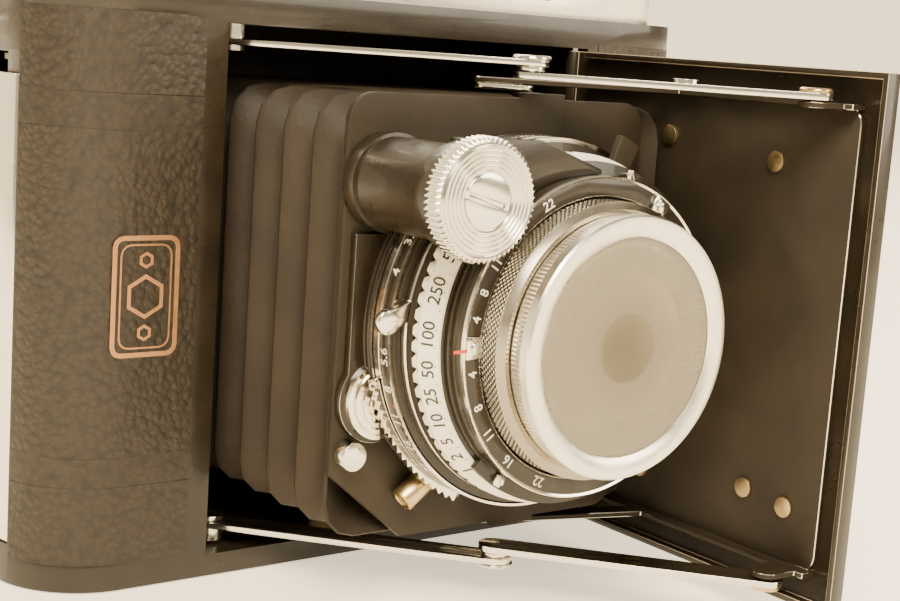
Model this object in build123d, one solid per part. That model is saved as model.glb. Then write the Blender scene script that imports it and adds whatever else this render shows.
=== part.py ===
from build123d import *
from math import cos, hypot, radians, sin
import os

os.makedirs("parts", exist_ok=True)

# A folding roll-film camera for 6 x 6 cm negatives, open for use and standing on its base.
# Millimetres. +X is to the right of someone facing the lens, +Y runs back towards the film, +Z is up.
# The parts are laid out with the lens axis at X = 0, the body's front face at Y = 0 and the base at
# Z = 0, and are then moved so that the mouth of the tripod socket is the origin.

# ---- body ----
body_width = 122.0
body_height = 86.6
body_depth = 45.5
front_corner = 13.5
back_corner = 9.0
shell_wall = 1.2
casting_depth = 38.5
opening_half = 33.6
opening_bottom = 3.3
opening_top = 81.8
rim_bar = 3.5
leather_thickness = 0.6
leather_proud = 0.1
leather_margin = 4.0
leather_reach = 9.5
joint_gap = 0.1
lens_z = 42.75

# ---- film path ----
film_plane = 38.8
gate_thickness = 1.2
gate_size = 56.0
gate_lap = 1.0
spool_length = 65.5
spool_flange = 12.5
spool_flange_thickness = 0.8
spool_core = 5.8
spool_end_play = 0.35
chamber_radius = 12.9
chamber_wall = 0.9
spool_pin = 3.0
roller_radius = 2.4
roller_journal = 0.8
plate_thickness = 1.2
plate_gap = 0.4

# ---- running fits ----
running_clearance = 0.05
axial_clearance = 0.12

# ---- door ----
hinge_x = 32.6
hinge_y = 0.9
hinge_pin = 0.6
hinge_barrel = 1.2
barrel_length = 9.5
door_sheet = 0.9
door_rim = 1.7
door_bottom = 4.2
door_top = 81.3
door_free_clearance = 0.5
door_leather = 0.5
bracket_sheet = 0.6
bracket_end = 4.6
bracket_foot = 9.6

# ---- folding struts and swing links ----
strut_thickness = 0.9
strut_width = 5.0
strut_pin = 1.2
level_gap = 0.3
link_gap = 0.1
rear_anchor = (-29.6, 6.2)
front_anchor = (26.4, -56.4)
knee_share = 0.529
rivet_radius = 2.8
pivot_head_radius = 2.3
rivet_height = 0.7
arm_pivot = (0.30, -16.37)
link_span = (3.74, -4.23)
link_width = 3.0
link_pin = 0.7
link_thickness = 0.8

# ---- lens standard ----
board_back = -24.4
board_thickness = 1.2
board_left = -29.3
board_right = 24.0
board_top = 74.1
bellows_wall = 0.8
bellows_half = 28.0
bellows_top = 72.4

# ---- shutter and lens: radii and the places of their front faces ----
shutter_radius = 26.4
shutter_body_front = -33.6
shutter_nose = 22.9
shutter_nose_front = -40.3
shutter_bore = 13.0
ring_thickness = 1.2
speed_radius = 24.8
speed_front_radius = 23.6
face_radius = 24.0
face_front = -41.2
scale_radius = 22.2
scale_front = -44.2
focus_radius = 19.2
focus_front = -47.8
filter_radius = 18.0
filter_front = -52.0
filter_glass_radius = 15.4
front_element = 12.5
rear_cell_radius = 12.0
rear_cell_back = -22.2

# ---- focusing wheel beside the lens ----
wheel_x = -23.3
wheel_z = 62.2
wheel_radius = 8.0
wheel_back = -45.3
wheel_front = -48.2
wheel_teeth = 60
wheel_shaft_radius = 1.5
wheel_screw_radius = 3.6
wheel_housing_radius = 6.3

# ---- outside fittings ----
housing_left = -31.0
housing_right = 54.5
housing_height = 15.4
housing_front = 2.6
housing_depth = 36.0
housing_wall = 0.9
knob_radius = 11.5
knob_height = 9.0
spindle_radius = 3.0
shoe_rail_gap = 18.6
release_place = (-25.0, 9.0)
release_radius = 4.0
release_travel = 3.0
door_button_place = (57.3, 18.0)
door_button_radius = 2.0
door_button_travel = 1.8
latch_travel = 3.0
latch_thickness = 1.0
latch_bottom = 6.0
latch_top = 73.0
lug_radius = 2.6
back_hinge_x = 62.3
back_barrel = 1.4
red_window_radius = 5.0
tripod_y = 20.0
tripod_bore = 2.55
tripod_depth = 4.6
tripod_bush_radius = 6.0

# ---- places that follow from the sizes above ----
half_width = body_width / 2
chamber_x = half_width - 1.0 - chamber_radius
chamber_y = shell_wall + leather_thickness + chamber_radius + 0.3
chamber_length = spool_length + 2 * spool_end_play
chamber_bottom = lens_z - chamber_length / 2
chamber_top = chamber_bottom + chamber_length
gate_front = film_plane - gate_thickness
door_face = hinge_x + hinge_y
door_inside = door_face - door_sheet
door_end = -(opening_half - door_free_clearance) - hinge_x + hinge_y
board_bottom = 2 * lens_z - board_top
lug_bottom = board_top
link_bottom = lug_bottom + link_thickness + link_gap
arm_bottom = link_bottom + link_thickness + link_gap
front_strut_bottom = arm_bottom + link_thickness + level_gap
rear_strut_bottom = front_strut_bottom + strut_thickness + rivet_height + 2 * link_gap
knee = tuple(a + knee_share * (b - a) for a, b in zip(rear_anchor, front_anchor))
lug_pivot = tuple(a + b for a, b in zip(arm_pivot, link_span))
roller_x = half_width - 24.0
roller_y = film_plane - roller_radius
housing_top = body_height + housing_height
back_knuckles = ((8.0, 26.0), (60.6, 78.6))
door_knuckles = ((door_bottom, door_bottom + barrel_length), (door_top - barrel_length, door_top))
red_window_z = lens_z - 12.0
slider_travel = 14.0
lug_y, lug_z = 22.0, 79.5
cable_bore, cable_depth = 1.6, 5.0
boss_radius = 6.2
boss_place = (board_left + boss_radius, lens_z - 10.4)
nut_radius = 2.0
nut_place = (board_left + nut_radius + 0.2, lens_z - 18.0)
aperture_back, aperture_front = -29.6, -31.2
aperture_seat = 24.4
aperture_reach = 28.2
sync_y = -27.5
screw_circle = 23.1
screw_angles = (237, 335, 72)
STANDING = (Align.CENTER, Align.CENTER, Align.MIN)


def block(x0, x1, y0, y1, z0, z1):
    """A rectangular solid between two opposite corners."""
    return Pos((x0 + x1) / 2, (y0 + y1) / 2, (z0 + z1) / 2) * Box(x1 - x0, y1 - y0, z1 - z0)


def turned(start, direction, length, radius, bore=0.0):
    """A turned pin, or a tube, that runs from a start point along a direction."""
    place = Plane(origin=start, z_dir=direction)
    solid = place * Cylinder(radius, length, align=STANDING)
    if bore:
        solid -= place * Cylinder(bore, length, align=STANDING)
    return solid


def upright(x, y, z0, z1, radius, bore=0.0):
    """A vertical pin or tube between two heights."""
    return turned((x, y, z0), (0, 0, 1), z1 - z0, radius, bore)


def lens_ring(back, front, outer, inner=0.0):
    """A ring on the lens axis between two distances along it."""
    return turned((0, back, lens_z), (0, -1, 0), back - front, outer, inner)


def at_angle(radius, angle, centre=(0.0, lens_z)):
    """X and Z of a point on a circle round the lens axis, anticlockwise from +X, seen from the front."""
    return centre[0] + radius * cos(radians(angle)), centre[1] + radius * sin(radians(angle))


def bar(start, end, width, z0, z1):
    """A flat bar with round ends between two points in plan."""
    length = hypot(end[0] - start[0], end[1] - start[1])
    middle = [(a + b) / 2 for a, b in zip(start, end)]
    turn = Vector(end[0] - start[0], end[1] - start[1], 0)
    plane = Plane(origin=(*middle, z0), x_dir=turn, z_dir=(0, 0, 1))
    return extrude(plane * SlotCenterToCenter(length, width), z1 - z0)


def mirrored(solid):
    """The same piece at the foot of the camera, mirrored about the height of the lens."""
    return mirror(solid, about=Plane.XY.offset(lens_z))


def pair(solid):
    """A piece and its mirror image below the lens."""
    return solid + mirrored(solid)


def sector(back, front, outer, inner, start, end):
    """Part of a ring on the lens axis between two angles."""
    steps = 12
    reach = outer * 1.3
    points = [(0.0, 0.0)]
    for step in range(steps + 1):
        angle = start + (end - start) * step / steps
        points.append((reach * cos(radians(angle)), reach * sin(radians(angle))))
    plane = Plane(origin=(0, back, lens_z), x_dir=(1, 0, 0), z_dir=(0, -1, 0))
    wedge = extrude(plane * Polygon(*points, align=None), back - front)
    return lens_ring(back, front, outer, inner) & wedge


def notched(ring, count, depth, width, radius, back, front, centre=(0.0, lens_z), span=(0.0, 360.0)):
    """Cut evenly spaced vee notches into the rim of a ring or wheel on an axis along Y."""
    cutters = []
    for index in range(count):
        angle = span[0] + (span[1] - span[0]) * (index + 0.5) / count
        plane = Plane(origin=(centre[0], back + 1, centre[1]), x_dir=(1, 0, 0), z_dir=(0, -1, 0))
        rim = radius + depth
        tooth = Polygon((radius - depth, 0), (rim, 2 * width), (rim, -2 * width), align=None)
        cutters.append(extrude(plane * Rot(0, 0, angle) * tooth, back - front + 2))
    return ring - cutters


# ---- camera body ----
def body_plan(inset=0.0):
    """The body's outline in plan, with larger corners in front than behind."""
    plan = Rectangle(body_width, body_depth, align=(Align.CENTER, Align.MIN))
    plan = fillet(plan.vertices().group_by(Axis.Y)[0], front_corner)
    plan = fillet(plan.vertices().group_by(Axis.Y)[-1], back_corner)
    return offset(plan, -inset) if inset else plan


def slab(inset, z0, z1):
    """The body's outline between two heights."""
    return extrude(Pos(0, 0, z0) * body_plan(inset), z1 - z0)


def skin(outer, inner, z0, z1):
    """A layer that follows the body's outline between two insets."""
    return slab(outer, z0, z1) - slab(inner, z0 - 1, z1 + 1)


def leather_zone(side):
    """The part of the body's front and rounded end that one leather panel covers."""
    x0, x1 = sorted((side * (opening_half + rim_bar), side * (half_width + 1)))
    return block(x0, x1, -1, leather_reach, leather_margin, body_height - leather_margin)


def latch_zone(margin, z0, z1):
    """The stretch of the body's left end that the back latch slides on."""
    front = leather_reach + 0.5 - margin
    return block(-half_width - 2, -half_width + 8, front, casting_depth - 0.6 + margin, z0, z1)


def gate_zone(front, back):
    """The plate that closes the back of the bellows chamber, before its window is cut."""
    half = opening_half + chamber_wall / 2
    return block(-half, half, front, back, opening_bottom - gate_lap, opening_top + gate_lap)


def hinge_knuckles(x, y, radius, spans):
    """Hinge barrels on one vertical axis."""
    return Part() + [upright(x, y, z0, z1, radius) for z0, z1 in spans]


def body_casting():
    casting = slab(0, 0, body_height) & block(-70, 70, -1, casting_depth, -1, body_height + 1)
    casting -= block(-opening_half, opening_half, -1, gate_front + 1, opening_bottom, opening_top)
    casting -= gate_zone(gate_front, casting_depth + 1)
    for side in (-1, 1):
        x = side * chamber_x
        casting -= upright(x, chamber_y, chamber_bottom, chamber_top, chamber_radius)
        left, right = x - chamber_radius, x + chamber_radius
        casting -= block(left, right, chamber_y, casting_depth + 1, chamber_bottom, chamber_top)
        journal = roller_journal + running_clearance
        casting -= upright(side * roller_x, roller_y, chamber_bottom - 2, chamber_top + 2, journal)
        skin_recess = skin(0, leather_thickness, leather_margin, body_height - leather_margin)
        casting -= skin_recess & leather_zone(side)
    bearing = spindle_radius + running_clearance
    casting -= upright(-chamber_x, chamber_y, chamber_top - 1, body_height + 1, bearing)
    # the door's hinge lies in a groove beside the opening, on one long pin and a middle knuckle
    groove_x = opening_half + 1.2
    groove_y = hinge_y + hinge_barrel + 0.5
    casting -= block(opening_half - 1, groove_x, -1, groove_y, opening_bottom, opening_top)
    z0, z1 = lens_z - barrel_length, lens_z + barrel_length
    casting += block(hinge_x, groove_x + 1, hinge_y - 0.6, hinge_y + 0.6, z0, z1)
    casting += upright(hinge_x, hinge_y, z0, z1, hinge_barrel)
    casting -= upright(hinge_x, hinge_y, opening_bottom - 1.5, opening_top + 1.5, hinge_pin)
    # the middle knuckle of the back's hinge
    z0, z1 = back_knuckles[0][1] + joint_gap, back_knuckles[1][0] - joint_gap
    casting += block(half_width - 2, back_hinge_x, casting_depth - 1.4, casting_depth - 0.4, z0, z1)
    casting += upright(back_hinge_x, casting_depth, z0, z1, back_barrel)
    casting -= upright(back_hinge_x, casting_depth, z0 - 1, z1 + 1, hinge_pin)
    # seats for the tripod bush, the back latch and the two buttons
    casting -= upright(0, tripod_y, -1, opening_bottom + 1, tripod_bush_radius)
    recess = skin(0, latch_thickness, latch_bottom - 0.2, latch_top + latch_travel + 0.2)
    casting -= recess & latch_zone(0.1, latch_bottom - 0.2, latch_top + latch_travel + 0.2)
    stem = release_radius - 1.8 + running_clearance
    casting -= upright(*release_place, opening_top - 1, body_height + 1, stem)
    button = door_button_radius + running_clearance
    casting -= upright(*door_button_place, body_height - 4.6, body_height + 1, button)
    return casting


def front_leather():
    panels = skin(-leather_proud, leather_thickness, leather_margin, body_height - leather_margin)
    return Part() + [panels & leather_zone(side) for side in (-1, 1)]


def film_gate():
    half = gate_size / 2
    window = block(-half, half, gate_front - 1, film_plane + 1, lens_z - half, lens_z + half)
    return gate_zone(gate_front, film_plane) - window


def tripod_bush():
    bush = upright(0, tripod_y, 0, tripod_depth + 0.8, tripod_bush_radius)
    return bush - upright(0, tripod_y, -1, tripod_depth, tripod_bore)


def hinge_pins():
    door_pin = upright(hinge_x, hinge_y, opening_bottom - 1.5, opening_top + 1.5, hinge_pin)
    bottom, top = back_knuckles[0][0], back_knuckles[-1][1]
    return door_pin + upright(back_hinge_x, casting_depth, bottom, top, hinge_pin)


def strut_anchors():
    """Headed studs in the roof and floor of the opening that carry the rear struts."""
    stud = upright(*rear_anchor, rear_strut_bottom - link_gap, opening_top, strut_pin)
    head = upright(*rear_anchor, rear_strut_bottom - 0.8, rear_strut_bottom - link_gap, 2.0)
    shoulder = upright(*rear_anchor, rear_strut_bottom + strut_thickness + link_gap, opening_top, 2.0)
    return pair(stud + head + shoulder)


def spool_pins():
    """The pins that the spools turn on: both at the foot and one at the top."""
    pins = []
    reach = 2.6
    for side in (-1, 1):
        x = side * chamber_x
        pins.append(upright(x, chamber_y, chamber_bottom, chamber_bottom + reach, spool_pin))
    pins.append(upright(chamber_x, chamber_y, chamber_top - reach, chamber_top, spool_pin))
    return Part() + pins


# ---- top housing ----
def housing_block(inset, z0, z1):
    """The top housing's outline between two heights."""
    width = housing_right - housing_left - 2 * inset
    plan = Rectangle(width, housing_depth - 2 * inset)
    plan = fillet(plan.vertices(), 7.0 - inset)
    middle = ((housing_left + housing_right) / 2, housing_front + housing_depth / 2, z0)
    return extrude(Pos(*middle) * plan, z1 - z0)


def finder_openings(y0, y1, clear=0.0):
    """The viewfinder and rangefinder windows in the front wall."""
    view = block(14.0 + clear, 28.0 - clear, y0, y1, body_height + 2.6 + clear, housing_top - 3.2 - clear)
    base = body_height + 5.2 + clear
    ranging = block(-18.0 + clear, -11.0 - clear, y0, y1, base, base + 5.6 - 2 * clear)
    return [view, ranging]


def eyepiece_place(y0, y1, radius):
    return turned((21.0, y0, body_height + 7.8), (0, 1, 0), y1 - y0, radius)


def top_housing():
    housing = housing_block(0, body_height, housing_top)
    rim = housing.faces().sort_by(Axis.Z)[-1].edges()
    housing = fillet(rim, 1.6)
    housing -= housing_block(housing_wall, body_height - 1, housing_top - housing_wall)
    for opening in finder_openings(housing_front - 1, housing_front + 3):
        housing -= opening
    back = housing_front + housing_depth
    housing -= eyepiece_place(back - 3, back + 1, 3.6)
    housing -= upright(*release_place, housing_top - 3, housing_top + 1, release_radius + running_clearance)
    return housing


def finder_windows():
    panes = finder_openings(housing_front + 0.1, housing_front + 0.1 + housing_wall, 0.02)
    back = housing_front + housing_depth
    panes.append(eyepiece_place(back - 0.1 - housing_wall, back - 0.1, 3.58))
    return Part() + panes


def beam_splitter():
    """The half-silvered cube behind the finder window and the small mirror of the rangefinder."""
    z = body_height + 7.8
    cube = Pos(21.0, housing_front + 16, z) * Box(9, 9, 9)
    mirror_plate = Pos(-14.5, housing_front + 14, z) * Rot(0, 0, 45) * Box(9, 1.2, 8)
    bed = block(-20, 27, housing_front + 8, housing_front + 24, body_height, z - 4.5)
    bed -= block(-9, 14, housing_front + 7, housing_front + 25, body_height + 1, z)
    return cube + mirror_plate + bed


def accessory_shoe():
    inner, outer = shoe_rail_gap / 2, shoe_rail_gap / 2 + 1.4
    x, y0, y1 = 2.0, housing_front + 9.0, housing_front + 27.0
    z = housing_top
    shoe = block(x - outer, x + outer, y0, y1, z, z + 0.8)
    for side in (-1, 1):
        a, b = sorted((x + side * inner, x + side * outer))
        shoe += block(a, b, y0, y1, z, z + 3.6)
        a, b = sorted((x + side * (inner - 2.6), x + side * outer))
        shoe += block(a, b, y0, y1, z + 2.8, z + 3.6)
    return shoe


def strap_lugs():
    """Two round eyes on posts at the ends of the body."""
    lugs = []
    for side in (-1, 1):
        start = (side * half_width, lug_y, lug_z)
        post = turned(start, (side, 0, 0), 2.6, 1.6)
        eye = turned((side * (half_width + 4.2), lug_y - 0.8, lug_z), (0, 1, 0), 1.6, lug_radius, 1.5)
        lugs.append(post + eye)
    return Part() + lugs


# ---- back ----
def back_cover():
    cover = slab(0, 0, body_height) & block(-70, 70, casting_depth + joint_gap, 90, -1, body_height + 1)
    hollow = slab(shell_wall, shell_wall, body_height - shell_wall)
    cover -= hollow & block(-70, 70, 0, body_depth - shell_wall, -1, body_height + 1)
    cover -= turned((0, body_depth - 3, red_window_z), (0, 1, 0), 6, red_window_radius - 0.6)
    cover -= turned((0, body_depth - shell_wall - 1, red_window_z), (0, 1, 0), 1.4, red_window_radius)
    for z0, z1 in back_knuckles:
        cover += block(half_width - 1, back_hinge_x, casting_depth + 0.4, casting_depth + 1.4, z0, z1)
    cover += hinge_knuckles(back_hinge_x, casting_depth, back_barrel, back_knuckles)
    bottom, top = back_knuckles[0][0], back_knuckles[-1][1]
    bore = hinge_pin + running_clearance
    return cover - upright(back_hinge_x, casting_depth, bottom - 1, top + 1, bore)


def back_leather():
    panel = block(-48, 48, body_depth, body_depth + 0.4, 4.5, body_height - 4.5)
    panel = fillet(panel.edges().filter_by(Axis.Y), 4.0)
    slider_room = block(-9.5, 9.5 + slider_travel, body_depth - 1, body_depth + 1, red_window_z - 9, red_window_z + 9)
    return panel - slider_room


def red_window():
    return turned((0, body_depth - shell_wall - 0.6, red_window_z), (0, 1, 0), 1.0, red_window_radius)


def window_slider():
    """A shutter plate over the red window that a thumb pushes sideways."""
    plate = block(-8.5, 8.5, body_depth + 0.1, body_depth + 0.9, red_window_z - 7.5, red_window_z + 7.5)
    thumb = block(4.5, 7.5, body_depth + 0.9, body_depth + 1.7, red_window_z - 4, red_window_z + 4)
    return plate + thumb


def pressure_plate():
    front = film_plane + plate_gap
    plate = block(-33, 33, front, front + plate_thickness, lens_z - 28.5, lens_z + 28.5)
    plate = fillet(plate.edges().filter_by(Axis.Y), 3.0)
    return plate - turned((0, front - 1, red_window_z), (0, 1, 0), 4, 4.0)


def pressure_springs():
    """Bowed leaf springs between the back and the pressure plate, as plain blocks of their outer shape."""
    front = film_plane + plate_gap + plate_thickness
    rear = body_depth - shell_wall
    leaves = []
    for x in (-20, 20):
        leaf = block(x - 4, x + 4, rear - 0.3, rear, lens_z - 20, lens_z + 20)
        crown = block(x - 4, x + 4, front, rear - 0.3, lens_z - 3, lens_z + 3)
        leaves.append(leaf + crown)
    return Part() + leaves


def back_latch():
    strip = skin(0, latch_thickness - 0.1, latch_bottom, latch_top)
    strip = strip & latch_zone(0, latch_bottom, latch_top)
    thumb = block(-half_width - 0.8, -half_width + 0.6, 20, 30, 58, 64)
    return strip + thumb


# ---- film transport ----
def film_spool(x, key):
    """A metal film spool; the winding end has a slot for the key."""
    z0 = chamber_bottom + spool_end_play
    z1 = z0 + spool_length
    spool = upright(x, chamber_y, z0, z1, spool_core)
    spool += upright(x, chamber_y, z0, z0 + spool_flange_thickness, spool_flange)
    spool += upright(x, chamber_y, z1 - spool_flange_thickness, z1, spool_flange)
    bore = spool_pin + running_clearance
    spool -= upright(x, chamber_y, z0 - 1, z0 + 4, bore)
    spool -= upright(x, chamber_y, z1 - 4, z1 + 1, bore)
    if key:
        spool -= block(x - spool_core - 1, x + spool_core + 1, chamber_y - 0.7, chamber_y + 0.7, z1 - 3, z1 + 1)
    return spool


def winding_spindle():
    end = chamber_top - spool_end_play - 2.8
    spindle = upright(-chamber_x, chamber_y, end, body_height + 0.4, spool_pin)
    key = block(
        -chamber_x - 4.6, -chamber_x + 4.6, chamber_y - 0.6, chamber_y + 0.6, end, chamber_top - spool_end_play
    )
    return spindle + key


def winding_knob():
    base = body_height + 0.4
    knob = upright(-chamber_x, chamber_y, base, base + knob_height, knob_radius)
    grooves = []
    for index in range(48):
        angle = radians(360 * index / 48)
        x = -chamber_x + (knob_radius + 0.25) * cos(angle)
        y = chamber_y + (knob_radius + 0.25) * sin(angle)
        grooves.append(upright(x, y, base + 1.6, base + knob_height - 1.6, 0.55))
    knob -= grooves
    return knob - upright(-chamber_x, chamber_y, base + knob_height - 0.6, base + knob_height + 1, 7.5)


def film_roller(side):
    x = side * roller_x
    roller = upright(x, roller_y, chamber_bottom + 0.2, chamber_top - 0.2, roller_radius)
    return roller + upright(x, roller_y, chamber_bottom - 1.8, chamber_top + 1.8, roller_journal)


def release_button():
    """The shutter release, threaded for a cable, with its stem running down into the body."""
    cap = upright(*release_place, housing_top - 1.0, housing_top + release_travel + 0.6, release_radius)
    stem = upright(*release_place, body_height - 1.0, housing_top - 1.0, release_radius - 1.8)
    top = housing_top + release_travel + 0.6
    return cap + stem - upright(*release_place, top - cable_depth, top + 1, cable_bore)


def door_button():
    cap = upright(*door_button_place, body_height - 2.6, body_height + 2.0, door_button_radius)
    return fillet(cap.edges().sort_by(Axis.Z)[-1], 0.6)


# ---- door and struts ----
def lens_door():
    door = block(door_inside, door_face, door_end, hinge_y - 1.35, door_bottom, door_top)
    tip = door_inside - door_rim
    for z in (door_bottom, door_top - door_sheet):
        door += block(tip, door_face, door_end, hinge_y - 4.5, z, z + door_sheet)
    door += block(tip, door_face, door_end, door_end + door_sheet, door_bottom, door_top)
    for z0, z1 in door_knuckles:
        door += block(hinge_x, door_face, hinge_y - 1.5, hinge_y, z0, z1)
        door += upright(hinge_x, hinge_y, z0, z1, hinge_barrel)
        door -= upright(hinge_x, hinge_y, z0 - 1, z1 + 1, hinge_pin + running_clearance)
    return door


def door_leather_panel():
    margin = 1.5
    z0, z1 = door_bottom + margin, door_top - margin
    return block(door_face, door_face + door_leather, door_end + 1.1, hinge_y - 2.4, z0, z1)


def arm_plate():
    """The horizontal flange of the door bracket, with the front strut's seat and the long arm."""
    z0, z1 = arm_bottom, arm_bottom + link_thickness
    edge = door_inside - bracket_sheet
    rear, front = hinge_y - 5.4, door_end + bracket_end
    plate = block(edge - 2.2, door_inside, front, rear, z0, z1)
    plate += bar(front_anchor, (edge - 1, front_anchor[1]), 2 * pivot_head_radius, z0, z1)
    root = (edge - 2.2, arm_pivot[1] - 9.0)
    plate += bar(arm_pivot, root, link_width + 0.2, z0, z1)
    return plate & block(-20, door_inside, front - 9, rear, z0, z1)


def door_bracket():
    edge = door_inside - bracket_sheet
    rear, front = hinge_y - 5.4, door_end + bracket_end
    top = arm_bottom + link_thickness
    sheet = block(edge, door_inside, front, rear, 2 * lens_z - top, top)
    sheet = fillet(sheet.edges().filter_by(Axis.X).group_by(Axis.Y)[0], 3.0)
    sheet -= block(edge - 1, door_inside + 1, rear - 16, rear + 1, lens_z - 24, lens_z + 24)
    arm = arm_plate() + upright(*arm_pivot, link_bottom - link_gap / 2, arm_bottom, link_pin)
    pin = upright(*front_anchor, arm_bottom + link_thickness, front_strut_bottom + strut_thickness, strut_pin)
    return sheet + pair(arm + pin)


def bracket_rivets():
    """Round-headed rivets on the bracket, and the domed heads over the front struts' pivots."""
    heads = []
    edge = door_inside - bracket_sheet
    for y, z in ((-46.0, 67.5), (-54.0, 17.6), (-46.0, 18.5), (-24.0, 69.5), (-24.0, 16.0)):
        heads.append(turned((edge, y, z), (-1, 0, 0), 0.6, 1.5))
    z = front_strut_bottom + strut_thickness
    dome = upright(*front_anchor, z + 0.05, z + rivet_height, pivot_head_radius)
    dome += upright(*front_anchor, z, z + 0.1, strut_pin)
    dome = fillet(dome.edges().sort_by(Axis.Z)[-1], 0.4)
    return Part() + heads + pair(dome)


def rear_struts():
    z0, z1 = rear_strut_bottom, rear_strut_bottom + strut_thickness
    strut = bar(rear_anchor, knee, strut_width, z0, z1)
    strut -= upright(*rear_anchor, z0 - 1, z1 + 1, strut_pin + running_clearance)
    strut -= upright(*knee, z0 - 1, z1 + 1, strut_pin)
    return pair(strut)


def knee_rivets():
    """The rivets at the struts' knees, each with a head above and a collar below the rear strut."""
    z0, z1 = rear_strut_bottom, rear_strut_bottom + strut_thickness
    head = upright(*knee, z1, z1 + rivet_height - 0.1, rivet_radius)
    head = fillet(head.edges().sort_by(Axis.Z)[-1], 0.4)
    collar = upright(*knee, front_strut_bottom + strut_thickness + 0.15, z0, 2.0)
    return pair(head + upright(*knee, z0, z1, strut_pin) + collar)


def front_struts():
    z0, z1 = front_strut_bottom, front_strut_bottom + strut_thickness
    strut = bar(front_anchor, knee, strut_width, z0, z1)
    strut -= upright(*front_anchor, z0 - 1, z1 + 1, strut_pin + running_clearance)
    stop = tuple(a + 0.45 * (b - a) for a, b in zip(front_anchor, knee))
    return pair(strut + upright(*stop, z1, z1 + 0.6, 1.8))


def swing_links():
    """Short links that let the lens panel draw back faster than the door turns."""
    link = bar(arm_pivot, lug_pivot, link_width, link_bottom, link_bottom + link_thickness)
    bore = link_pin + running_clearance
    for place in (arm_pivot, lug_pivot):
        link -= upright(*place, link_bottom - 1, link_bottom + link_thickness + 1, bore)
    return pair(link)


# ---- lens panel ----
def lens_board():
    front = board_back - board_thickness
    board = block(board_left, board_right, front, board_back, board_bottom, board_top)
    board = fillet(board.edges().filter_by(Axis.Y), 4.0)
    board -= lens_ring(board_back + 1, front - 1, rear_cell_radius)
    plane = Plane(origin=(0, board_back + 1, 0), x_dir=(1, 0, 0), z_dir=(0, -1, 0))
    corner = Polygon((board_left - 1, 22.5), (board_left - 1, 10.0), (-15.0, 10.0), align=None)
    board -= extrude(plane * corner, board_thickness + 2)
    z1 = lug_bottom + link_thickness
    lug = block(lug_pivot[0] - 4, lug_pivot[0] + 4, front, board_back, board_top - 1, z1)
    foot = (lug_pivot[0], board_back - 0.2)
    lug += bar(foot, lug_pivot, link_width, lug_bottom, z1) & block(-30, 30, front, 30, 0, 99)
    lug += upright(*lug_pivot, z1, link_bottom + link_thickness, link_pin)
    return board + pair(lug)


def standard_plate():
    """The bright-edged front plate, whose foot swells into a stepped round boss."""
    back, front = board_back - board_thickness, board_back - board_thickness - 1.4
    x, z = boss_place
    plate = turned((x, back, z), (0, -1, 0), 1.4, boss_radius)
    plate += block(x - boss_radius + 1.2, x + 4, front, back, z, wheel_z - 7)
    for step, radius in enumerate((boss_radius - 1.0, boss_radius - 2.0, boss_radius - 3.0)):
        plate += turned((x, front - 0.35 * step, z), (0, -1, 0), 0.35, radius)
    return plate - lens_ring(back + 1, front - 3, shutter_radius)


def knurled_nut():
    x, z = nut_place
    nut = turned((x, board_back - board_thickness, z), (0, -1, 0), 2.6, nut_radius)
    return notched(nut, 16, 0.3, 0.22, nut_radius, board_back - board_thickness, board_back - 4.2, nut_place)


def bellows():
    """The bellows as one plain square tube from the lens board to the film gate."""
    reach = bellows_top - lens_z
    outer = block(
        -bellows_half, bellows_half, board_back, gate_front, lens_z - reach, lens_z + reach
    )
    inner_half, inner_reach = bellows_half - bellows_wall, reach - bellows_wall
    return outer - block(
        -inner_half, inner_half, board_back - 1, gate_front + 1, lens_z - inner_reach, lens_z + inner_reach
    )


def wheel_housing():
    """The black housing of the focusing wheel's shaft, with the bridge plate that reaches the lens."""
    back = board_back - board_thickness
    centre = (wheel_x, back, wheel_z)
    barrel = turned(centre, (0, -1, 0), back - (wheel_back + 0.4), wheel_housing_radius)
    barrel += turned(centre, (0, -1, 0), 2.6, wheel_housing_radius + 0.5)
    barrel += turned((wheel_x, wheel_back + 3.2, wheel_z), (0, -1, 0), 2.8, wheel_housing_radius + 0.7)
    plane = Plane(origin=(0, scale_front + 2.6, 0), x_dir=(1, 0, 0), z_dir=(0, -1, 0))
    outline = Polygon((-23.3, 69.4), (-9.5, 69.4), (1.5, 65.6), (1.5, 60.0), (-20.0, 56.0), align=None)
    bridge = extrude(plane * outline, 2.0)
    housing = barrel + bridge
    housing -= lens_ring(scale_front + 3, scale_front - 1, scale_radius + 0.1)
    housing -= lens_ring(shutter_body_front, scale_front + 3, speed_radius + 0.5)
    housing -= lens_ring(back + 1, shutter_body_front, shutter_radius)
    bore = wheel_shaft_radius + running_clearance
    return housing - turned((wheel_x, back - 0.8, wheel_z), (0, -1, 0), 30, bore)


def focus_wheel():
    wheel = turned((wheel_x, wheel_back, wheel_z), (0, -1, 0), wheel_back - wheel_front, wheel_radius)
    place = (wheel_x, wheel_z)
    wheel = notched(wheel, wheel_teeth, 0.62, 0.36, wheel_radius, wheel_back, wheel_front, place)
    wheel -= turned((wheel_x, wheel_front + 0.6, wheel_z), (0, -1, 0), 2, wheel_screw_radius)
    shaft = board_back - board_thickness - 1.2
    return wheel + turned((wheel_x, shaft, wheel_z), (0, -1, 0), shaft - wheel_back, wheel_shaft_radius)


def wheel_screw():
    screw = turned((wheel_x, wheel_front + 0.6, wheel_z), (0, -1, 0), 0.8, wheel_screw_radius)
    slot = Box(2 * wheel_screw_radius + 1, 0.8, 0.7)
    return screw - Pos(wheel_x, wheel_front - 0.2, wheel_z) * Rot(0, 15, 0) * slot


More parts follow.
